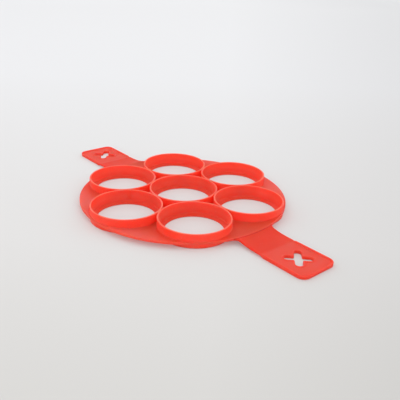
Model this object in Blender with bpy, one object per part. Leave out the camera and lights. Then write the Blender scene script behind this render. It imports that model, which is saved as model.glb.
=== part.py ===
"""A silicone ring mould for eggs and small pancakes, lying on a table with its rings up.

Seven ring walls stand on one round web: one in the middle and six round it. Under each
wall a seal skirt reaches down to the table, with a lip that turns inwards. A flat handle
leaves the web at either end, with a grip pad and a cross-shaped hanging hole.

Lengths are in metres. The origin lies on the table, below the centre of the middle ring.
+X runs along the front handle and +Z points up.
"""

import math

import bmesh
import bpy
from mathutils import Matrix

# Free gap between pieces that touch, and how far a cutter runs past what it cuts
SEAT_GAP = 0.0003
OVERRUN = 0.003

# Ring walls and the cavities inside them
CAVITY_RADIUS = 0.035
WALL_THICKNESS = 0.0016
RIM_HEIGHT = 0.0144
OUTER_RINGS = 6

# Web plate, whose edge is turned up, and its underside with it over a short run
WEB_UNDERSIDE = 0.0032
WEB_THICKNESS = 0.0024
EDGE_TO_WALL = 0.0002
EDGE_WIDTH = 0.00075
EDGE_RISE = 0.0013
EDGE_LIFT = 0.0010
EDGE_LIFT_RUN = 0.0040
EDGE_RADIUS = 0.0005

# Seal skirts, whose lip thins towards its free edge
LIP_REACH = 0.0053
LIP_ROOT_THICKNESS = 0.0019
LIP_EDGE_THICKNESS = 0.0010
LIP_FILLET = 0.0008

# Handles, with the direction of each in degrees: a thin neck falls from the web's edge to
# just above the table, and carries the pad
HANDLE_TURNS = {"front_handle": 0, "rear_handle": 180}
HANDLE_LENGTH = 0.07895
HANDLE_WIDTH = 0.0452
TIP_CORNER_RADIUS = 0.008
FLARE_RADIUS = 0.0075
FLARE_LAND = 0.0006
NECK_LENGTH = 0.02795
NECK_THICKNESS = 0.0020
NECK_ROOT = 0.0042
NECK_FOOT = 0.0015
PAD_THICKNESS = 0.00275
PAD_STEP_RUN = 0.0035
BORDER_WIDTH = 0.0023
BORDER_RISE = 0.00115
HANDLE_EDGE_CHAMFER = 0.0004

# Hanging hole: two crossed slots with round ends, inside a raised bead
SLOT_LENGTH = 0.0272
SLOT_WIDTH = 0.0072
SLOT_BEAD_WIDTH = 0.0020
SLOT_BEAD_RISE = 0.0006
SLOT_CENTRE_TO_TIP = 0.0254
SLOT_TURNS = (45, -45)

# Facets
RING_STEPS = 48
PLATE_STEPS = 96
RIM_ARC_STEPS = 4
EDGE_ARC_STEPS = 2
FILLET_STEPS = 1
CORNER_STEPS = 6
NECK_STEPS = 7
NECK_POWER = 3
SHARP_ANGLE = 35

# Sizes that follow from those above
OUTER_RADIUS = CAVITY_RADIUS + WALL_THICKNESS
RING_PITCH = 2 * OUTER_RADIUS + SEAT_GAP
LIP_OPENING_RADIUS = CAVITY_RADIUS - LIP_REACH
WEB_TOP = WEB_UNDERSIDE + WEB_THICKNESS
PLATE_RADIUS = RING_PITCH + OUTER_RADIUS + EDGE_TO_WALL + EDGE_WIDTH
HANDLE_HALF_WIDTH = HANDLE_WIDTH / 2
HANDLE_TIP = PLATE_RADIUS + HANDLE_LENGTH
PAD_START = PLATE_RADIUS + NECK_LENGTH
BORDER_TOP = PAD_THICKNESS + BORDER_RISE
SLOT_CENTRE = HANDLE_TIP - SLOT_CENTRE_TO_TIP

# Colour of each sub-part, as red, green, blue in linear light, with the silicone's gloss
WEB_COLOUR = (0.86, 0.085, 0.050)
WALL_COLOUR = (0.87, 0.062, 0.028)
SKIRT_COLOUR = (0.84, 0.057, 0.030)
HANDLE_COLOUR = (0.83, 0.092, 0.060)
SILICONE_ROUGHNESS = 0.5


def clear_scene():
    """Removes whatever the startup scene holds."""
    for thing in list(bpy.data.objects):
        bpy.data.objects.remove(thing)


def silicone(name, colour):
    """A satin silicone of the given colour."""
    material = bpy.data.materials.new(name)
    material.use_nodes = True
    shader = material.node_tree.nodes["Principled BSDF"]
    shader.inputs["Base Color"].default_value = (*colour, 1)
    shader.inputs["Roughness"].default_value = SILICONE_ROUGHNESS
    shader.inputs["Metallic"].default_value = 0
    return material


def surfaced(mesh, material):
    """The mesh in its material, shaded smooth except across its sharp edges."""
    mesh.materials.append(material)
    mesh.shade_smooth()
    mesh.set_sharp_from_angle(angle=math.radians(SHARP_ANGLE))
    return mesh


def place(name, mesh, parent):
    """A new object for a mesh, under its parent."""
    thing = bpy.data.objects.new(name, mesh)
    bpy.context.scene.collection.objects.link(thing)
    thing.parent = parent
    return thing


def empty(name, parent=None, turn=0):
    """An empty that other objects hang from, turned about Z by a number of degrees."""
    pivot = bpy.data.objects.new(name, None)
    bpy.context.scene.collection.objects.link(pivot)
    pivot.parent = parent
    pivot.rotation_euler.z = math.radians(turn)
    return pivot


def arc(centre, radius, start, end, steps):
    """Points on an arc in a plane, from one angle to another in degrees."""
    angles = [math.radians(start + (end - start) * i / steps) for i in range(steps + 1)]
    return [(centre[0] + radius * math.cos(a), centre[1] + radius * math.sin(a)) for a in angles]


def turned(name, section, steps):
    """A mesh made by turning a closed section of (radius, height) points about Z."""
    shape = bmesh.new()
    corners = [shape.verts.new((radius, 0, height)) for radius, height in section]
    edges = [shape.edges.new(ends) for ends in zip(corners, corners[1:] + corners[:1])]
    bmesh.ops.spin(
        shape,
        geom=corners + edges,
        axis=(0, 0, 1),
        cent=(0, 0, 0),
        angle=math.tau,
        steps=steps,
        use_merge=True,
    )
    return finished(name, shape)


def extruded(name, points, direction):
    """A mesh made by extruding a flat closed outline of 3D points."""
    shape = bmesh.new()
    face = shape.faces.new([shape.verts.new(point) for point in points])
    made = bmesh.ops.extrude_face_region(shape, geom=[face])["geom"]
    far_end = [part for part in made if isinstance(part, bmesh.types.BMVert)]
    bmesh.ops.translate(shape, vec=direction, verts=far_end)
    return finished(name, shape)


def finished(name, shape):
    """The mesh of a bmesh whose faces are made to point outwards."""
    bmesh.ops.recalc_face_normals(shape, faces=shape.faces)
    mesh = bpy.data.meshes.new(name)
    shape.to_mesh(mesh)
    shape.free()
    return mesh


def prism(name, outline, low, high):
    """A mesh that stands on a plan outline, from one height to another."""
    return extruded(name, [(x, y, low) for x, y in outline], (0, 0, high - low))


def combine(thing, operation, tool):
    """Cuts, joins or intersects an object with a tool, which is then only a guide."""
    tool.hide_render = True
    tool.display_type = "WIRE"
    modifier = thing.modifiers.new(tool.name, "BOOLEAN")
    modifier.operation = operation
    modifier.solver = "EXACT"
    modifier.object = tool


def ring_places():
    """The name and centre of each ring: the middle one, then those round it."""
    places = [("centre", (0, 0))]
    step = math.tau / OUTER_RINGS
    for i in range(OUTER_RINGS):
        angle = step * (i + 1 / 2)
        centre = (RING_PITCH * math.cos(angle), RING_PITCH * math.sin(angle))
        places.append((str(i + 1), centre))
    return places


def ring_wall_section():
    """A ring wall's section: upright faces on the web and a half-round rim."""
    base = WEB_TOP + SEAT_GAP
    rim_radius = WALL_THICKNESS / 2
    rim_centre = (CAVITY_RADIUS + rim_radius, RIM_HEIGHT - rim_radius)
    rim = arc(rim_centre, rim_radius, 0, 180, RIM_ARC_STEPS)
    return [(OUTER_RADIUS, base), *rim, (CAVITY_RADIUS, base)]


def seal_skirt_section():
    """A seal skirt's section: a short wall on the table, and the lip at its foot."""
    top = WEB_UNDERSIDE - SEAT_GAP
    fillet_centre = (CAVITY_RADIUS - LIP_FILLET, LIP_ROOT_THICKNESS + LIP_FILLET)
    fillet = arc(fillet_centre, LIP_FILLET, 0, -90, FILLET_STEPS)
    return [
        (LIP_OPENING_RADIUS, 0),
        (OUTER_RADIUS, 0),
        (OUTER_RADIUS, top),
        (CAVITY_RADIUS, top),
        *fillet,
        (LIP_OPENING_RADIUS, LIP_EDGE_THICKNESS),
    ]


def make_rings(parent):
    """The ring walls on the web and the seal skirts under it, each set sharing one mesh."""
    wall = turned("ring_wall", ring_wall_section(), RING_STEPS)
    skirt = turned("seal_skirt", seal_skirt_section(), RING_STEPS)
    surfaced(wall, silicone("wall_silicone", WALL_COLOUR))
    surfaced(skirt, silicone("skirt_silicone", SKIRT_COLOUR))
    for label, centre in ring_places():
        for mesh in (wall, skirt):
            ring = place(f"{mesh.name}_{label}", mesh, parent)
            ring.location = (*centre, 0)


def web_plate_section():
    """The web's section, from inside the middle cavity out to its turned-up edge."""
    low = WEB_UNDERSIDE + EDGE_LIFT
    high = WEB_TOP + EDGE_RISE
    edge = PLATE_RADIUS - EDGE_RADIUS
    return [
        (LIP_OPENING_RADIUS, WEB_UNDERSIDE),
        (PLATE_RADIUS - EDGE_LIFT_RUN, WEB_UNDERSIDE),
        *arc((edge, low + EDGE_RADIUS), EDGE_RADIUS, -90, 0, EDGE_ARC_STEPS),
        *arc((edge, high - EDGE_RADIUS), EDGE_RADIUS, 0, 90, EDGE_ARC_STEPS),
        (PLATE_RADIUS - EDGE_WIDTH, WEB_TOP),
        (LIP_OPENING_RADIUS, WEB_TOP),
    ]


def make_web_plate(parent):
    """The round web, bored through under every ring wall."""
    mesh = turned("web_plate", web_plate_section(), PLATE_STEPS)
    plate = place("web_plate", surfaced(mesh, silicone("web_silicone", WEB_COLOUR)), parent)
    depth = WEB_THICKNESS + 2 * OVERRUN
    bores = bmesh.new()
    for _, centre in ring_places():
        middle = Matrix.Translation((*centre, WEB_UNDERSIDE + WEB_THICKNESS / 2))
        bmesh.ops.create_cone(
            bores,
            cap_ends=True,
            segments=RING_STEPS,
            radius1=CAVITY_RADIUS,
            radius2=CAVITY_RADIUS,
            depth=depth,
            matrix=middle,
        )
    combine(plate, "DIFFERENCE", place("cavity_bores", finished("cavity_bores", bores), parent))


def handle_plan():
    """A handle's outline from above: flared at the plate, straight, and round at the tip.

    It starts inside the plate's edge, where the plate's clearance cuts it.
    """
    flare_y = HANDLE_HALF_WIDTH + FLARE_RADIUS
    flare_end = math.sqrt((PLATE_RADIUS + SEAT_GAP) ** 2 - flare_y**2) + FLARE_LAND
    flare = arc((flare_end + FLARE_RADIUS, -flare_y), FLARE_RADIUS, 180, 90, CORNER_STEPS)
    corner_centre = (HANDLE_TIP - TIP_CORNER_RADIUS, TIP_CORNER_RADIUS - HANDLE_HALF_WIDTH)
    corner = arc(corner_centre, TIP_CORNER_RADIUS, -90, 0, CORNER_STEPS)
    lower = [(flare_end - OVERRUN, -flare_y), *flare, *corner]
    return lower + [(x, -y) for x, y in reversed(lower)]


def neck_underside():
    """Points along the neck's underside, which falls fast at the plate and then levels."""
    points = []
    for i in range(NECK_STEPS + 1):
        along = i / NECK_STEPS
        fall = 1 - (1 - along) ** NECK_POWER
        height = NECK_ROOT + (NECK_FOOT - NECK_ROOT) * fall
        points.append((PLATE_RADIUS + NECK_LENGTH * along, height))
    return points


def handle_profile():
    """A handle's outline from the side, with the pad as high as its border."""
    outer_end = HANDLE_TIP + OVERRUN
    pad_rise = PAD_START + PAD_STEP_RUN
    underside = [(0, NECK_ROOT), *neck_underside()]
    top = [(x, z + NECK_THICKNESS) for x, z in reversed(underside)]
    pad = [(pad_rise, 0), (outer_end, 0), (outer_end, BORDER_TOP), (pad_rise, BORDER_TOP)]
    return underside + pad + top


def stadium(length, width):
    """A slot's outline about its centre, along X, with round ends."""
    radius = width / 2
    reach = length / 2 - radius
    right = arc((reach, 0), radius, -90, 90, CORNER_STEPS)
    left = arc((-reach, 0), radius, 90, 270, CORNER_STEPS)
    return right + left


def slot_tools(name, length, width, low, high, pivot):
    """Two crossed slot shapes over the hanging hole."""
    tools = []
    for turn in SLOT_TURNS:
        mesh = prism(name, stadium(length, width), low, high)
        tool = place(f"{name}_{pivot.name}", mesh, pivot)
        tool.location.x = SLOT_CENTRE
        tool.rotation_euler.z = math.radians(turn)
        tools.append(tool)
    return tools


def pad_pocket(pivot):
    """The cutter that sinks the pad's field, sparing its border and the hole's bead."""
    inset = HANDLE_HALF_WIDTH - BORDER_WIDTH
    end = HANDLE_TIP - BORDER_WIDTH
    radius = TIP_CORNER_RADIUS - BORDER_WIDTH
    corner = arc((end - radius, radius - inset), radius, -90, 0, CORNER_STEPS)
    lower = [(PAD_START + PAD_STEP_RUN / 2, -inset), *corner]
    outline = lower + [(x, -y) for x, y in reversed(lower)]
    mesh = prism("pad_pocket", outline, PAD_THICKNESS, BORDER_TOP + OVERRUN)
    pocket = place(f"pad_pocket_{pivot.name}", mesh, pivot)
    bead_length = SLOT_LENGTH + 2 * SLOT_BEAD_WIDTH
    bead_width = SLOT_WIDTH + 2 * SLOT_BEAD_WIDTH
    bead_top = PAD_THICKNESS + SLOT_BEAD_RISE
    spared = slot_tools("slot_bead", bead_length, bead_width, 0, bead_top, pivot)
    for bead in spared:
        combine(pocket, "DIFFERENCE", bead)
    return pocket


def make_handle(name, pivot, material):
    """A handle along the pivot's X axis, out from the web's edge."""
    profile = [(x, -PLATE_RADIUS, z) for x, z in handle_profile()]
    mesh = extruded(name, profile, (0, 2 * PLATE_RADIUS, 0))
    handle = place(name, surfaced(mesh, material), pivot)
    high = WEB_TOP + OVERRUN
    plan = place(f"plan_{name}", prism("plan", handle_plan(), -OVERRUN, high), pivot)
    combine(handle, "INTERSECT", plan)
    edge = arc((0, 0), PLATE_RADIUS + SEAT_GAP, 0, 360, PLATE_STEPS)[:-1]
    clearance = place(f"plate_clearance_{name}", prism("clearance", edge, -OVERRUN, high), pivot)
    combine(handle, "DIFFERENCE", clearance)
    combine(handle, "DIFFERENCE", pad_pocket(pivot))
    for slot in slot_tools("slot", SLOT_LENGTH, SLOT_WIDTH, -OVERRUN, high, pivot):
        combine(handle, "DIFFERENCE", slot)
    chamfer = handle.modifiers.new("edges", "BEVEL")
    chamfer.width = HANDLE_EDGE_CHAMFER
    chamfer.segments = 1
    chamfer.limit_method = "ANGLE"
    chamfer.angle_limit = math.radians(SHARP_ANGLE)


def main():
    clear_scene()
    mould = empty("egg_ring")
    make_web_plate(mould)
    make_rings(mould)
    material = silicone("handle_silicone", HANDLE_COLOUR)
    for name, turn in HANDLE_TURNS.items():
        make_handle(name, empty(f"{name}_direction", mould, turn), material)


main()
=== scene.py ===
"""A red silicone ring mould for eggs on a pale studio table, seen from the front handle's end.

The mould is one moulding. It is drawn as a web plate, seven rings and two handles whose
surfaces run into each other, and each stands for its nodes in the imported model.

Lengths are in metres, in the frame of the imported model: +X along the front handle, +Z up,
and the table at height zero. Angles of arcs are in degrees.
"""

import math

import bmesh
import bpy
from mathutils import Matrix, Vector
from mathutils.geometry import tessellate_polygon


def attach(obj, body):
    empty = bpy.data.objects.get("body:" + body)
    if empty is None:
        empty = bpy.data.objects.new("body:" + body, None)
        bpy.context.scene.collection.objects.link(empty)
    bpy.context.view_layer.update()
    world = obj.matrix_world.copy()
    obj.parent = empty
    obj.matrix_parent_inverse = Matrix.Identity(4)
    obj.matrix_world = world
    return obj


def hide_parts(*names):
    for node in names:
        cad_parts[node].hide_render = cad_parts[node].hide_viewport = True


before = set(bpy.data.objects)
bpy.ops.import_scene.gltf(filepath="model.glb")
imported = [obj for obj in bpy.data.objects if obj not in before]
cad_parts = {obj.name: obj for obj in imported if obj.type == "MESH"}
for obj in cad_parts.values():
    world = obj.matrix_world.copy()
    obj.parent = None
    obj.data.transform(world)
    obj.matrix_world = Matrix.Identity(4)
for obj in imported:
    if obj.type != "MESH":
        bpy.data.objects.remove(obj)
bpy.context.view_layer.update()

MM = 0.001

# Every mesh: points nearer than this are joined, and edges past this angle are drawn sharp
JOIN_DISTANCE = 0.002 * MM
SHARP_ANGLE = math.radians(42)

# Rings and their cavities
RING_PITCH = 73.5 * MM
OUTER_RINGS = 6
RING_STEPS = 160
CAVITY_RADIUS = 35.0 * MM
WALL_RADIUS = 36.85 * MM
RIM_HEIGHT = 14.4 * MM
RIM_ROUNDING = 0.55 * MM
RIM_STEPS = 6
RIM_BAND = 4 * RIM_ROUNDING
SEAL_ROUNDING = 0.3 * MM
SEAL_STEPS = 3
FOOT_FILLET = 0.6 * MM
FOOT_STEPS = 8
FOOT_SINK = 0.06 * MM
FOOT_COVER = 0.4 * MM
FOOT_COVER_OUT = 0.5 * MM
LIP_OPENING_RADIUS = 29.7 * MM
LIP_ROOT = 2.0 * MM
LIP_EDGE = 1.0 * MM
LIP_ROUNDING = 0.35 * MM
LIP_ROUNDING_STEPS = 4
LIP_FILLET = 0.9 * MM
LIP_FILLET_STEPS = 6
LIP_SLOPE = 80
BORE_RADIUS = 35.9 * MM
BORE_STEPS = 72

# Web plate
PLATE_RADIUS = 111.05 * MM
PLATE_STEPS = 256
WEB_UNDERSIDE = 3.0 * MM
WEB_TOP = 5.3 * MM
BORE_DEPTH = 4 * WEB_TOP
DISH_START = 84.0 * MM
DISH_RISE = 1.6 * MM
DISH_RISE_BELOW = 1.3 * MM
DISH_POWER = 1.5
DISH_ROWS = 14
EDGE_ROUNDING = 0.45 * MM
EDGE_ROUNDING_STEPS = 6
EDGE_ROUNDING_BELOW = 0.5 * MM
EDGE_ROUNDING_BELOW_STEPS = 4

# Handles
HANDLE_TIP = 190.0 * MM
HALF_WIDTH = 22.6 * MM
TIP_CORNER = 8.0 * MM
TIP_STEPS = 12
FLARE_RADIUS = 7.5 * MM
FLARE_SINK = 0.3 * MM
FLARE_START = 165
FLARE_STEPS = 10
HANDLE_ROOT = 106.5 * MM
ROW_STEP = 1.5 * MM
NECK_END = 139.0 * MM
NECK_ROOT = 4.15 * MM
NECK_ROOT_THICKNESS = 2.05 * MM
NECK_FOOT = 1.5 * MM
NECK_THICKNESS = 1.95 * MM
NECK_POWER = 2.8
PAD_STEP = 3.5 * MM
PAD_FIELD = 2.75 * MM
PAD_FIELD_START = NECK_END - 0.5 * MM
PAD_FIELD_END = NECK_END + 2 * MM
BORDER_RISE = 1.15 * MM
BORDER_START = NECK_END + 0.5 * MM
BORDER_END = NECK_END + 4 * MM

# Hanging cross: two crossed slots with round ends, inside a raised bead
SLOT_CENTRE = 164.6 * MM
SLOT_REACH = 10.0 * MM
SLOT_HALF_WIDTH = 3.6 * MM
SLOT_STEPS = 12
SLOT_BEAD_RISE = 0.6 * MM
SLOT_CORNER = 1.2 * MM
SLOT_CORNER_LEAST = 0.2 * MM
SLOT_CORNER_STEPS = 4
SLOT_MARGIN = 3 * MM

# A handle's edge in millimetres, as (inset, lift above the underside), then (inset, drop below
# the crown) over the border, then (inset, share of the border's rise) down to the field
EDGE_BOTTOM = ((0.50, 0), (0.15, 0.15), (0, 0.45))
EDGE_TOP = ((0, 0.80), (0.09, 0.45), (0.28, 0.18), (0.55, 0.04), (0.85, 0), (1.15, 0.03))
EDGE_SLOPE_SHARES = ((1.35, 0.12), (1.60, 0.42), (1.85, 0.80), (2.20, 1.08), (2.80, 1.0))
EDGE_LEVELS = len(EDGE_BOTTOM) + len(EDGE_TOP) + len(EDGE_SLOPE_SHARES)

# Silicone's colours, each with the slightly deeper one that mottles it
WEB_RED, WEB_DEEP_RED = (0.98, 0.129, 0.064), (0.97, 0.119, 0.058)
RING_RED, RING_DEEP_RED = (0.99, 0.146, 0.086), (0.98, 0.134, 0.077)
HANDLE_RED, HANDLE_DEEP_RED = (0.985, 0.052, 0.012), (0.975, 0.047, 0.010)
SPECK_PINK = (0.95, 0.55, 0.48)

# Painted light and shade over them, by place: what each follows, where it begins, where it is full,
# and its colour
WEB_PAINTED_SHEEN_AND_HIGHLIGHT = (
    # Painted sheen: the web is paler beyond 72 mm to either side, as if light grazes it there
    ("Y", 72 * MM, 96 * MM, (0.98, 0.20, 0.15)),
    # Painted highlight: a paler line along the web's rounded edge
    ("radius", PLATE_RADIUS - 0.6 * MM, PLATE_RADIUS - 0.1 * MM, (0.99, 0.17, 0.11)),
)
RING_PAINTED_SHADE_AND_HIGHLIGHT = (
    # Painted shade: a deeper, darker red towards the rings' feet
    ("Z", 9 * MM, 2.5 * MM, (0.99, 0.070, 0.034)),
    # Painted highlight: a paler line along each rim
    ("Z", RIM_HEIGHT - 0.45 * MM, RIM_HEIGHT - 0.1 * MM, (1.0, 0.29, 0.20)),
)
HANDLE_PAINTED_SHEEN_AND_SHADE = (
    # Painted sheen: the pad is paler than the neck, standing in for the whitish sheen of its duller
    # finish
    ("X", NECK_END - 1.5 * MM, NECK_END + 2.5 * MM, (0.985, 0.097, 0.055)),
    # Painted shade: a darker line on the neck just beyond the web's edge, where the handle meets it
    ("radius", PLATE_RADIUS + 1.4 * MM, PLATE_RADIUS + 0.5 * MM, (0.84, 0.028, 0.008)),
)

# How much of the light on the silicone passes through: in the web, in the handles, and in a
# ring's thick foot and thin wall, which meet between two heights
WEB_TRANSLUCENCY = 0.54
HANDLE_TRANSLUCENCY = 0.40
FOOT_TRANSLUCENCY = 0.04
WALL_TRANSLUCENCY = 0.54
FOOT_THICK, FOOT_THIN = 3.5 * MM, 9 * MM

# Patterns on the silicone: scale per metre, detail, the noise values that the pattern runs
# between, and what it gives at them
MOTTLE = (38, 4, 0.38, 0.62, 0, 1)
SPECKS = (900, 1, 0.735, 0.80, 0, 0.30)
SHEEN = (120, 5, 0.3, 0.7, 0.41, 0.53)

# Bumps on it: scale per metre, detail, strength and depth
GRAIN = (2600, 2, 0.35, 0.03 * MM)
SWELL = (70, 2, 0.5, 0.10 * MM)

# Light inside it: how deep it scatters, and how that depth differs by colour
SCATTER_DEPTH = 4 * MM
SCATTER_SHARES = (1.0, 0.10, 0.05)
SILICONE_IOR = 1.45

# Floor, and its tones by distance along its gradient of painted light, in metres
FLOOR_SIZE = 12
FLOOR_DROP = 0.1 * MM
FLOOR_TURN = math.radians(49)
FLOOR_START, FLOOR_END = -2.50, 2.50
FLOOR_TONES = (
    (-2.50, (0.755, 0.759, 0.772)),
    (-0.30, (0.602, 0.594, 0.579)),
    (-0.10, (0.666, 0.659, 0.655)),
    (0.60, (0.718, 0.721, 0.735)),
    (2.50, (0.755, 0.759, 0.772)),
)

# Painted shade: it dims to one side, between two shares of a width that grows along the
# gradient, and this fades out towards the gradient's start
DIM_TONE = (0.890, 0.888, 0.886)
DIM_WIDTH_START, DIM_WIDTH_END = -0.40, 2.50
DIM_WIDTH_NEAR, DIM_WIDTH_FAR = 0.139, 1.0
DIM_START_SHARE, DIM_END_SHARE = 0.15, 1.05
DIM_FADE_START, DIM_FADE_END = -0.85, -0.35

# Far off, it blends into the backdrop
HORIZON_START, HORIZON_END = 2.8, 5.8
HORIZON_TONE = (0.757, 0.762, 0.776)
BACKDROP_TONE = (0.86, 0.87, 0.89)

# The share of the floor that the camera sees unlit, and how bright a lit open floor is
FLOOR_UNLIT = 0.22
OPEN_LIGHT = 1.18

# Strength of the soft light from all round, low down and overhead, and the lamp
LIGHT_LOW, LIGHT_OVERHEAD = 1.60, 0.90
LAMP_PLACE = Vector((-0.7, 0.1, 1.7))
LAMP_SIZE = 1.4
LAMP_POWER = 3.0

# Camera, fitted to the photograph
LENS = 49.104
SENSOR = 36.0
CLIP_START = 0.01
CAMERA_AZIMUTH = math.radians(48.970)
CAMERA_ELEVATION = math.radians(24.377)
CAMERA_ROLL = math.radians(2.231)
CAMERA_TARGET = Vector((12.30, 13.81, 0)) * MM
CAMERA_DISTANCE = 599.45 * MM

# A Mix node's sockets for colours
COLOUR_A, COLOUR_B, COLOUR_RESULT = 6, 7, 2


def mesh_object(name, points, faces, material):
    """A smooth-shaded object from points and faces, with its normals facing out."""
    mesh = bpy.data.meshes.new(name)
    mesh.from_pydata(points, [], faces)
    mesh.materials.append(material)
    join_close_points(mesh)
    mesh.shade_smooth()
    mesh.set_sharp_from_angle(angle=SHARP_ANGLE)
    thing = bpy.data.objects.new(name, mesh)
    bpy.context.scene.collection.objects.link(thing)
    return thing


def join_close_points(mesh):
    """Joins points that lie within a hair of each other, and turns the faces outwards."""
    shape = bmesh.new()
    shape.from_mesh(mesh)
    bmesh.ops.remove_doubles(shape, verts=shape.verts, dist=JOIN_DISTANCE)
    bmesh.ops.recalc_face_normals(shape, faces=shape.faces)
    shape.to_mesh(mesh)
    shape.free()


def arc(centre, radius, start, end, steps):
    """Points on an arc in a plane, from one angle to another in degrees."""
    angles = [math.radians(start + (end - start) * i / steps) for i in range(steps + 1)]
    return [(centre[0] + radius * math.cos(a), centre[1] + radius * math.sin(a)) for a in angles]


def circle(centre, radius, steps):
    """Points on a circle in a plane."""
    return arc(centre, radius, 0, 360, steps)[:-1]


def smooth_step(value, start, end):
    """0 before start, 1 after end, with a soft rise between them."""
    t = min(max((value - start) / (end - start), 0), 1)
    return t * t * (3 - 2 * t)


def bridge(first, second, count):
    """Quads between two closed loops of points that start at the given indices."""
    quads = []
    for i in range(count):
        j = (i + 1) % count
        quads.append((first + i, first + j, second + j, second + i))
    return quads


def fill(loops):
    """Triangles, as indices into all the loops' points in turn, of a flat outline with holes."""
    return tessellate_polygon([[Vector((x, y, 0)) for x, y in loop] for loop in loops])


def dish(x, y, rise):
    """How far the web has risen towards its edge at a place."""
    share = (math.hypot(x, y) - DISH_START) / (PLATE_RADIUS - DISH_START)
    return rise * min(max(share, 0), 1) ** DISH_POWER


def turned(name, section, steps, material, centre=(0, 0)):
    """A closed object made by turning a closed section of (radius, height, rise) points about
    Z, where rise is what the web's dish adds at the web's edge."""
    points = []
    for radius, height, rise in section:
        points += [(x, y, height + dish(x, y, rise)) for x, y in circle(centre, radius, steps)]
    faces = []
    for k in range(len(section)):
        faces += bridge(k * steps, (k + 1) % len(section) * steps, steps)
    return mesh_object(name, points, faces, material)


def ring_places():
    """The name and centre of each ring: the middle one, then those round it."""
    places = [("centre", (0, 0))]
    for i in range(OUTER_RINGS):
        angle = math.tau / OUTER_RINGS * (i + 0.5)
        centre = (RING_PITCH * math.cos(angle), RING_PITCH * math.sin(angle))
        places.append((str(i + 1), centre))
    return places


def ring_section():
    """A ring from its flat seal on the table up to its rounded rim, with the lip inside."""
    wall = WALL_RADIUS - CAVITY_RADIUS
    foot = (WALL_RADIUS + FOOT_FILLET, WEB_TOP - FOOT_SINK + FOOT_FILLET)
    seal_in = (LIP_OPENING_RADIUS + SEAL_ROUNDING, SEAL_ROUNDING)
    seal_out = (WALL_RADIUS - SEAL_ROUNDING, SEAL_ROUNDING)
    seal = [
        *arc(seal_in, SEAL_ROUNDING, 180, 270, SEAL_STEPS),
        *arc(seal_out, SEAL_ROUNDING, 270, 360, SEAL_STEPS),
    ]
    fillet = arc(foot, FOOT_FILLET, 270, 180, FOOT_STEPS)
    web = [
        (WALL_RADIUS, WEB_UNDERSIDE + FOOT_COVER, DISH_RISE_BELOW),
        (WALL_RADIUS + FOOT_FILLET, WEB_UNDERSIDE + FOOT_COVER_OUT, DISH_RISE_BELOW),
        *[(radius, height, DISH_RISE) for radius, height in fillet],
    ]
    rim_out = (WALL_RADIUS - RIM_ROUNDING, RIM_HEIGHT - RIM_ROUNDING)
    rim_in = (CAVITY_RADIUS + RIM_ROUNDING, RIM_HEIGHT - RIM_ROUNDING)
    lip_root = (CAVITY_RADIUS - LIP_FILLET, LIP_ROOT + LIP_FILLET)
    lip_edge = (LIP_OPENING_RADIUS + LIP_ROUNDING, LIP_EDGE - LIP_ROUNDING)
    cup = [
        (WALL_RADIUS, RIM_HEIGHT - RIM_BAND),
        *arc(rim_out, RIM_ROUNDING, 0, 90, RIM_STEPS),
        *arc(rim_in, RIM_ROUNDING, 90, 180, RIM_STEPS),
        (CAVITY_RADIUS, RIM_HEIGHT - RIM_BAND),
        (CAVITY_RADIUS, LIP_ROOT + LIP_FILLET + wall),
        *arc(lip_root, LIP_FILLET, 0, -LIP_SLOPE, LIP_FILLET_STEPS),
        *arc(lip_edge, LIP_ROUNDING, LIP_SLOPE, 180, LIP_ROUNDING_STEPS),
    ]
    return [(*point, 0) for point in seal] + web + [(*point, 0) for point in cup]


def plate_section():
    """The web's section, from the middle ring's wall out to its rounded edge and back."""
    flat = PLATE_RADIUS - EDGE_ROUNDING
    run = [DISH_START + (flat - DISH_START) * i / DISH_ROWS for i in range(DISH_ROWS)]
    radii = [BORE_RADIUS, *run]
    top = (flat, WEB_TOP - EDGE_ROUNDING)
    low = (PLATE_RADIUS - EDGE_ROUNDING_BELOW, WEB_UNDERSIDE + EDGE_ROUNDING_BELOW)
    top_edge = arc(top, EDGE_ROUNDING, 90, 0, EDGE_ROUNDING_STEPS)
    low_edge = arc(low, EDGE_ROUNDING_BELOW, 0, -90, EDGE_ROUNDING_BELOW_STEPS)
    return [
        *[(radius, WEB_TOP, DISH_RISE) for radius in radii],
        *[(radius, height, DISH_RISE) for radius, height in top_edge],
        *[(radius, height, DISH_RISE_BELOW) for radius, height in low_edge],
        *[(radius, WEB_UNDERSIDE, DISH_RISE_BELOW) for radius in reversed(radii)],
    ]


def make_bores():
    """The cylinders that cut the web's openings, except the middle one, which is turned."""
    shape = bmesh.new()
    for _, centre in ring_places()[1:]:
        bmesh.ops.create_cone(
            shape, cap_ends=True, segments=BORE_STEPS, radius1=BORE_RADIUS,
            radius2=BORE_RADIUS, depth=BORE_DEPTH, matrix=Matrix.Translation((*centre, 0)))
    mesh = bpy.data.meshes.new("bores")
    shape.to_mesh(mesh)
    shape.free()
    bores = bpy.data.objects.new("bores", mesh)
    bpy.context.scene.collection.objects.link(bores)
    return bores


def make_plate(material):
    """The round web, dished up towards a rounded edge and bored under each ring wall."""
    plate = turned("mould_web", plate_section(), PLATE_STEPS, material)
    bores = make_bores()
    cut = plate.modifiers.new("bores", "BOOLEAN")
    cut.operation = "DIFFERENCE"
    cut.solver = "EXACT"
    cut.object = bores
    graph = bpy.context.evaluated_depsgraph_get()
    bored = bpy.data.meshes.new_from_object(plate.evaluated_get(graph))
    plate.modifiers.clear()
    plate.data = bored
    join_close_points(bored)
    bored.set_sharp_from_angle(angle=SHARP_ANGLE)
    bpy.data.objects.remove(bores)
    return plate


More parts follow.
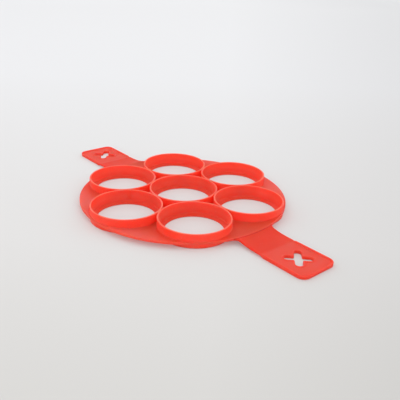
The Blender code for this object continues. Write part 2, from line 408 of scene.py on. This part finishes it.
def handle_outline(inset):
    """Half of a handle's outline, from the root along one side to the tip, moved inwards."""
    away = PLATE_RADIUS + FLARE_RADIUS - FLARE_SINK
    flare_y = HALF_WIDTH + FLARE_RADIUS
    flare_x = math.sqrt(away**2 - flare_y**2)
    flare = arc((flare_x, -flare_y), FLARE_RADIUS + inset, FLARE_START, 90, FLARE_STEPS)
    corner_x = HANDLE_TIP - TIP_CORNER
    corner = arc((corner_x, TIP_CORNER - HALF_WIDTH), TIP_CORNER - inset, -90, 0, TIP_STEPS)
    rows = round((corner_x - flare_x) / ROW_STEP)
    side = [(flare_x + (corner_x - flare_x) * i / rows, inset - HALF_WIDTH) for i in range(1, rows)]
    start_x, start_y = flare[0]
    root = [(HANDLE_ROOT, start_y), ((HANDLE_ROOT + start_x) / 2, start_y)]
    return root + flare + side + corner


def cross_outline(grow):
    """The crossed slots' outline about the origin, moved outwards."""
    width = SLOT_HALF_WIDTH + grow
    rounding = max(SLOT_CORNER - grow, SLOT_CORNER_LEAST)
    notch = width + rounding
    arm = arc((SLOT_REACH, 0), width, -90, 90, SLOT_STEPS)
    arm += arc((notch, notch), rounding, -90, -180, SLOT_CORNER_STEPS)
    points = []
    for quarter in range(4):
        turn = Matrix.Rotation(math.radians(45 + 90 * quarter), 2)
        points += [tuple(turn @ Vector(point)) for point in arm]
    return points


def neck_fall(x, root, foot):
    """A height along the neck, which falls fast at the web and then levels."""
    along = min(max((x - PLATE_RADIUS) / (NECK_END - PLATE_RADIUS), 0), 1)
    return foot + (root - foot) * (1 - along) ** NECK_POWER


def neck_height(x):
    """How high the handle's underside is at a distance from the centre."""
    neck = neck_fall(x, NECK_ROOT, NECK_FOOT)
    return neck * (1 - smooth_step(x, NECK_END, NECK_END + PAD_STEP))


def field_height(x):
    """How high the handle's top is inside its border."""
    neck = neck_fall(x, NECK_ROOT + NECK_ROOT_THICKNESS, NECK_FOOT + NECK_THICKNESS)
    pad = smooth_step(x, PAD_FIELD_START, PAD_FIELD_END)
    return neck + (PAD_FIELD - neck) * pad


def edge_heights(x, border=BORDER_RISE):
    """(inset, height) pairs over the edge at a place along the handle, from the underside up."""
    low = neck_height(x)
    field = field_height(x)
    rise = border * smooth_step(x, BORDER_START, BORDER_END)
    crown = field + rise
    pairs = [(inset * MM, low + lift * MM) for inset, lift in EDGE_BOTTOM]
    pairs += [(inset * MM, crown - drop * MM) for inset, drop in EDGE_TOP]
    pairs += [(inset * MM, crown - share * rise) for inset, share in EDGE_SLOPE_SHARES]
    return pairs


def make_handle(name, turn, material):
    """A handle with a rolled border round its pad and a beaded cross cut through it."""
    halves = [handle_outline(inset) for inset, _ in edge_heights(HANDLE_TIP)]
    rows = len(halves[0])
    count = 2 * rows
    points = []
    for level, half in enumerate(halves):
        loop = half + [(x, -y) for x, y in reversed(half)]
        points += [(x, y, edge_heights(x)[level][1]) for x, y in loop]
    faces = []
    for level in range(EDGE_LEVELS - 1):
        faces += bridge(level * count, (level + 1) * count, count)
    # Rows across the handle, left open round the cross
    reach = SLOT_REACH + SLOT_HALF_WIDTH + SLOT_MARGIN
    xs = [x for x, _ in halves[0]]
    first = max(i for i in range(rows) if xs[i] < SLOT_CENTRE - reach)
    last = min(i for i in range(rows) if xs[i] > SLOT_CENTRE + reach)
    top = (EDGE_LEVELS - 1) * count
    for start in (0, top):
        for i in range(rows - 1):
            if not first <= i < last:
                across = start + count - 1 - i
                faces.append((start + i, start + i + 1, across - 1, across))
    # Beaded cross: loops from the underside's hole edge, up through it and over the bead
    cross_loops = []
    for inset, height in edge_heights(HANDLE_TIP, SLOT_BEAD_RISE):
        cross_loops.append(len(points))
        points += [(SLOT_CENTRE + x, y, height) for x, y in cross_outline(inset)]
    size = len(cross_outline(0))
    for a, b in zip(cross_loops, cross_loops[1:]):
        faces += bridge(a, b, size)
    for start, cross in ((0, cross_loops[0]), (top, cross_loops[-1])):
        near = [start + i for i in range(first, last + 1)]
        far = [start + count - 1 - i for i in range(last, first - 1, -1)]
        indices = [near + far, list(range(cross, cross + size))]
        flat = [[points[i][:2] for i in loop] for loop in indices]
        joined = indices[0] + indices[1]
        faces += [tuple(joined[i] for i in triangle) for triangle in fill(flat)]
    rotation = Matrix.Rotation(math.radians(turn), 3, "Z")
    points = [tuple(rotation @ Vector(point)) for point in points]
    return mesh_object(name, points, faces, material)


def feed(tree, socket, value):
    """Links an input to an output, or sets it to a plain value."""
    if isinstance(value, bpy.types.NodeSocket):
        tree.links.new(value, socket)
    else:
        socket.default_value = value


def calculate(tree, operation, *values):
    """The result of a sum on outputs or plain numbers."""
    node = tree.nodes.new("ShaderNodeMath")
    node.operation = operation
    for socket, value in zip(node.inputs, values):
        feed(tree, socket, value)
    return node.outputs[0]


def ramp(tree, source, low, high, to_low=0.0, to_high=1.0, smooth=False):
    """An output mapped from one range onto another."""
    node = tree.nodes.new("ShaderNodeMapRange")
    if smooth:
        node.interpolation_type = "SMOOTHSTEP"
    tree.links.new(source, node.inputs["Value"])
    node.inputs["From Min"].default_value = low
    node.inputs["From Max"].default_value = high
    node.inputs["To Min"].default_value = to_low
    node.inputs["To Max"].default_value = to_high
    return node.outputs["Result"]


def blend(tree, factor, first, second, way="MIX"):
    """A colour mixed from two, each an output or a plain colour."""
    node = tree.nodes.new("ShaderNodeMix")
    node.data_type = "RGBA"
    node.blend_type = way
    tree.links.new(factor, node.inputs["Factor"])
    for socket, value in ((COLOUR_A, first), (COLOUR_B, second)):
        if not isinstance(value, bpy.types.NodeSocket):
            value = (*value, 1)
        feed(tree, node.inputs[socket], value)
    return node.outputs[COLOUR_RESULT]


def blend_shaders(tree, factor, first, second):
    """A shader mixed from two."""
    node = tree.nodes.new("ShaderNodeMixShader")
    feed(tree, node.inputs[0], factor)
    tree.links.new(first, node.inputs[1])
    tree.links.new(second, node.inputs[2])
    return node.outputs[0]


def noise(tree, place, scale, detail):
    """A noise texture over places."""
    node = tree.nodes.new("ShaderNodeTexNoise")
    node.inputs["Scale"].default_value = scale
    node.inputs["Detail"].default_value = detail
    tree.links.new(place, node.inputs["Vector"])
    return node.outputs["Fac"]


def pattern(tree, place, scale, detail, low, high, to_low, to_high):
    """A noise whose values between two are mapped onto others."""
    return ramp(tree, noise(tree, place, scale, detail), low, high, to_low, to_high)


def bump(tree, place, scale, detail, strength, depth):
    """A bump node over a noise."""
    node = tree.nodes.new("ShaderNodeBump")
    node.inputs["Strength"].default_value = strength
    node.inputs["Distance"].default_value = depth
    tree.links.new(noise(tree, place, scale, detail), node.inputs["Height"])
    return node


def component(tree, place, axis):
    """How far a place or a direction goes along an axis."""
    axes = tree.nodes.new("ShaderNodeSeparateXYZ")
    tree.links.new(place, axes.inputs[0])
    return axes.outputs[axis]


def coordinate(tree, place, kind):
    """A way of measuring a place on the mould: how far along X or Y from the middle, how high,
    or how far out from the web's centre."""
    if kind == "radius":
        flat = tree.nodes.new("ShaderNodeVectorMath")
        flat.operation = "MULTIPLY"
        flat.inputs[1].default_value = (1, 1, 0)
        tree.links.new(place, flat.inputs[0])
        length = tree.nodes.new("ShaderNodeVectorMath")
        length.operation = "LENGTH"
        tree.links.new(flat.outputs["Vector"], length.inputs[0])
        return length.outputs["Value"]
    return calculate(tree, "ABSOLUTE", component(tree, place, kind))


def silicone(name, colour, deep, translucency, painted_light, thick_foot=False):
    """Moulded silicone: a satin red with faint mottling, specks of dust and a fine grain, with
    painted highlights, sheen and shade laid over it by place.

    A thick foot lets less light through than the thin wall above it.
    """
    material = bpy.data.materials.new(name)
    material.use_nodes = True
    tree = material.node_tree
    shader = tree.nodes["Principled BSDF"]
    place = tree.nodes.new("ShaderNodeTexCoord").outputs["Object"]
    tone = blend(tree, pattern(tree, place, *MOTTLE), deep, colour)
    tone = blend(tree, pattern(tree, place, *SPECKS), tone, SPECK_PINK)
    # Painted highlights, sheen and shade, laid over the colour by place
    for kind, start, end, tint in painted_light:
        share = ramp(tree, coordinate(tree, place, kind), start, end, smooth=True)
        tone = blend(tree, share, tone, tint)
    tree.links.new(tone, shader.inputs["Base Color"])
    tree.links.new(pattern(tree, place, *SHEEN), shader.inputs["Roughness"])
    shader.inputs["Subsurface Weight"].default_value = 1.0
    shader.inputs["Subsurface Radius"].default_value = SCATTER_SHARES
    shader.inputs["Subsurface Scale"].default_value = SCATTER_DEPTH
    shader.inputs["IOR"].default_value = SILICONE_IOR
    shader.inputs["Specular IOR Level"].default_value = 0.5
    grain = bump(tree, place, *GRAIN)
    swell = bump(tree, place, *SWELL)
    tree.links.new(grain.outputs[0], swell.inputs["Normal"])
    tree.links.new(swell.outputs[0], shader.inputs["Normal"])
    # Thin silicone lets red light through, which warms its own shadow
    glow = tree.nodes.new("ShaderNodeBsdfTranslucent")
    tree.links.new(tone, glow.inputs["Color"])
    if thick_foot:
        height = coordinate(tree, place, "Z")
        translucency = ramp(tree, height, FOOT_THICK, FOOT_THIN, FOOT_TRANSLUCENCY, translucency)
    surface = blend_shaders(tree, translucency, shader.outputs[0], glow.outputs[0])
    tree.links.new(surface, tree.nodes["Material Output"].inputs["Surface"])
    return material


def along(tree, place, direction):
    """How far a place lies in a direction."""
    node = tree.nodes.new("ShaderNodeVectorMath")
    node.operation = "DOT_PRODUCT"
    tree.links.new(place, node.inputs[0])
    node.inputs[1].default_value = direction
    return node.outputs["Value"]


def floor_tone(tree, place):
    """The floor's colour: a painted light gradient that dims to one side and blends into the
    backdrop.
    """
    away = along(tree, place, (-math.sin(FLOOR_TURN), math.cos(FLOOR_TURN), 0))
    side = along(tree, place, (math.cos(FLOOR_TURN), math.sin(FLOOR_TURN), 0))
    tones = tree.nodes.new("ShaderNodeValToRGB")
    stops = tones.color_ramp.elements
    while len(stops) < len(FLOOR_TONES):
        stops.new(0.5)
    for stop, (distance, colour) in zip(stops, FLOOR_TONES):
        stop.position = (distance - FLOOR_START) / (FLOOR_END - FLOOR_START)
        stop.color = (*colour, 1)
    tree.links.new(ramp(tree, away, FLOOR_START, FLOOR_END), tones.inputs[0])
    width = ramp(tree, away, DIM_WIDTH_START, DIM_WIDTH_END, DIM_WIDTH_NEAR, DIM_WIDTH_FAR)
    share = calculate(tree, "DIVIDE", side, width)
    reach = ramp(tree, share, DIM_START_SHARE, DIM_END_SHARE)
    fade = ramp(tree, away, DIM_FADE_START, DIM_FADE_END, smooth=True)
    dimming = calculate(tree, "MULTIPLY", reach, fade)
    tone = blend(tree, dimming, tones.outputs["Color"], DIM_TONE, "MULTIPLY")
    out = coordinate(tree, place, "radius")
    horizon = ramp(tree, out, HORIZON_START, HORIZON_END, smooth=True)
    return blend(tree, horizon, tone, HORIZON_TONE)


def make_floor():
    """A pale seamless table with painted light on it, lightest at the far end and behind the
    camera.
    """
    bpy.ops.mesh.primitive_plane_add(size=FLOOR_SIZE, location=(0, 0, -FLOOR_DROP))
    floor = bpy.context.object
    floor.name = "studio_table"
    material = bpy.data.materials.new("table_paper")
    material.use_nodes = True
    tree = material.node_tree
    shader = tree.nodes["Principled BSDF"]
    tone = floor_tone(tree, tree.nodes.new("ShaderNodeNewGeometry").outputs["Position"])
    tree.links.new(tone, shader.inputs["Base Color"])
    shader.inputs["Roughness"].default_value = 0.9
    shader.inputs["Specular IOR Level"].default_value = 0.1
    # The camera sees a share of that tone unlit, so the mould's shadow is pale
    unlit = tree.nodes.new("ShaderNodeEmission")
    unlit.inputs["Strength"].default_value = OPEN_LIGHT
    tree.links.new(tone, unlit.inputs["Color"])
    path = tree.nodes.new("ShaderNodeLightPath")
    share = calculate(tree, "MULTIPLY", path.outputs["Is Camera Ray"], FLOOR_UNLIT)
    surface = blend_shaders(tree, share, shader.outputs[0], unlit.outputs[0])
    tree.links.new(surface, tree.nodes["Material Output"].inputs["Surface"])
    floor.data.materials.append(material)


def make_world():
    """Soft light from all round, brighter low down, in front of a plain backdrop."""
    world = bpy.data.worlds.new("studio")
    bpy.context.scene.world = world
    world.use_nodes = True
    tree = world.node_tree
    tree.nodes.clear()
    backdrop = tree.nodes.new("ShaderNodeBackground")
    backdrop.inputs["Color"].default_value = (*BACKDROP_TONE, 1)
    light = tree.nodes.new("ShaderNodeBackground")
    light.inputs["Color"].default_value = (1, 1, 1, 1)
    direction = tree.nodes.new("ShaderNodeTexCoord").outputs["Generated"]
    strength = ramp(tree, component(tree, direction, "Z"), 0, 1, LIGHT_LOW, LIGHT_OVERHEAD)
    tree.links.new(strength, light.inputs["Strength"])
    path = tree.nodes.new("ShaderNodeLightPath")
    seen = calculate(tree, "MAXIMUM", path.outputs["Is Camera Ray"], path.outputs["Is Glossy Ray"])
    surface = blend_shaders(tree, seen, light.outputs[0], backdrop.outputs[0])
    output = tree.nodes.new("ShaderNodeOutputWorld")
    tree.links.new(surface, output.inputs["Surface"])


def make_lamp():
    """A broad square lamp above and behind the mould, facing it."""
    light = bpy.data.lights.new("soft_box", "AREA")
    light.shape = "SQUARE"
    light.size = LAMP_SIZE
    light.energy = LAMP_POWER
    lamp = bpy.data.objects.new("soft_box", light)
    lamp.location = LAMP_PLACE
    lamp.rotation_euler = (-LAMP_PLACE).to_track_quat("-Z", "Y").to_euler()
    bpy.context.scene.collection.objects.link(lamp)


def make_camera():
    """The camera at the photograph's angle."""
    turn, rise = CAMERA_AZIMUTH, CAMERA_ELEVATION
    level = math.cos(rise)
    back = Vector((math.sin(turn) * level, -math.cos(turn) * level, math.sin(rise)))
    right = (-back).cross(Vector((0, 0, 1))).normalized()
    up = back.cross(right)
    rolled_right = right * math.cos(CAMERA_ROLL) + up * math.sin(CAMERA_ROLL)
    rolled_up = up * math.cos(CAMERA_ROLL) - right * math.sin(CAMERA_ROLL)
    data = bpy.data.cameras.new("camera")
    data.lens = LENS
    data.sensor_width = SENSOR
    data.clip_start = CLIP_START
    camera = bpy.data.objects.new("camera", data)
    camera.matrix_world = Matrix((rolled_right, rolled_up, back)).transposed().to_4x4()
    camera.location = CAMERA_TARGET + back * CAMERA_DISTANCE
    bpy.context.scene.collection.objects.link(camera)
    bpy.context.scene.camera = camera


def dress(piece, nodes):
    """Lets a piece ride on the root body and stand for its nodes."""
    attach(piece, "root")
    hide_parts(*nodes)


def make_mould():
    """The web, the rings and the handles, each in its own red."""
    web_look = silicone("web_red", WEB_RED, WEB_DEEP_RED, WEB_TRANSLUCENCY, WEB_PAINTED_SHEEN_AND_HIGHLIGHT)
    ring_look = silicone("ring_red", RING_RED, RING_DEEP_RED, WALL_TRANSLUCENCY, RING_PAINTED_SHADE_AND_HIGHLIGHT,
                         thick_foot=True)
    handle_look = silicone("handle_red", HANDLE_RED, HANDLE_DEEP_RED, HANDLE_TRANSLUCENCY,
                           HANDLE_PAINTED_SHEEN_AND_SHADE)
    dress(make_plate(web_look), ["web_plate"])
    section = ring_section()
    for label, centre in ring_places():
        ring = turned(f"mould_ring_{label}", section, RING_STEPS, ring_look, centre)
        dress(ring, [f"ring_wall_{label}", f"seal_skirt_{label}"])
    for side, turn in (("front", 0), ("rear", 180)):
        handle = make_handle(f"mould_handle_{side}", turn, handle_look)
        dress(handle, [f"{side}_handle"])


def main():
    bpy.context.scene.view_settings.view_transform = "Standard"
    make_mould()
    make_floor()
    make_world()
    make_lamp()
    make_camera()


main()
